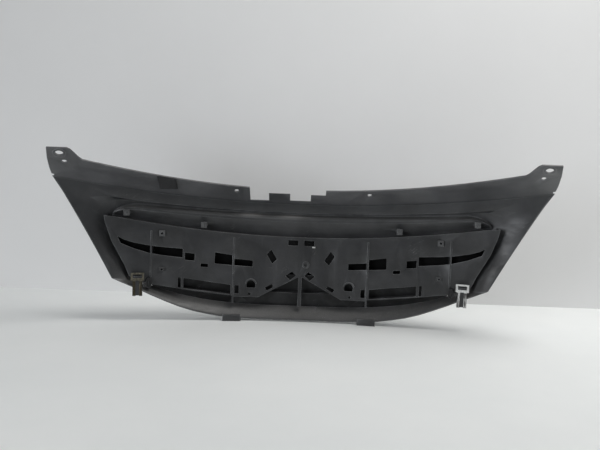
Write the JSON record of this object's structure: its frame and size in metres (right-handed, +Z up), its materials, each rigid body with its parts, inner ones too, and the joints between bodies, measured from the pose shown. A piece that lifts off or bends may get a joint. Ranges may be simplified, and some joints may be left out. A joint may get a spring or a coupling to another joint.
{
  "type": "front grille",
  "caption": "Wide curved car front grille with a raised top flange, side wings, slotted insert, louvres, blank badge and slide-on spring clips.",
  "frame": {"origin": "On the mid-plane, on the fold where the top flange meets the face, from which the grille hangs in the car", "axes": "+X to the car's right, +Y forwards to the road, +Z up; the rear, with its fastenings, faces -Y"},
  "size_m": [0.966, 0.1962, 0.3437],
  "materials": {
    "moulded_black": "fine-grained black polypropylene, dusty",
    "louvre_black": "deep black grained plastic",
    "bright_trim": "bright-plated plastic",
    "nut_grey": "dark grey nylon",
    "clip_zinc": "yellow zinc-plated spring steel",
    "clip_steel": "bright zinc-plated spring steel",
    "rubber": "matt rubber",
    "foam": "closed-cell foam"
  },
  "bodies": {
    "grille": {"surround_panel": "moulded_black", "upper_bar": "moulded_black", "grille_insert": "moulded_black", "lower_louvre": "louvre_black", "badge_lock_clip": "clip_steel", "foam_pad": "foam", "upper_louvre_left": "louvre_black", "upper_trim_left": "bright_trim", "outer_nut_left": "nut_grey", "inner_nut_left": "nut_grey", "louvre_nut_left": "nut_grey", "flat_nut_left": "nut_grey", "buffer_left": "rubber", "upper_louvre_right": "louvre_black", "upper_trim_right": "bright_trim", "outer_nut_right": "nut_grey", "inner_nut_right": "nut_grey", "louvre_nut_right": "nut_grey", "flat_nut_right": "nut_grey", "buffer_right": "rubber"},
    "badge": {"badge_carrier": "louvre_black", "badge_face": "bright_trim"},
    "clip_left": {"spring_clip_left": "clip_zinc"},
    "clip_right": {"spring_clip_right": "clip_steel"}
  },
  "joints": [
    {"name": "badge_pull", "type": "slide", "parent": "grille", "child": "badge", "axis": [0, 1, 0], "range_m": [0, 0.03]},
    {"name": "clip_left_slide", "type": "slide", "parent": "grille", "child": "clip_left", "axis": [0, 0, -1], "range_m": [0, 0.03]},
    {"name": "clip_right_slide", "type": "slide", "parent": "grille", "child": "clip_right", "axis": [0, 0, -1], "range_m": [0, 0.03]}
  ]
}
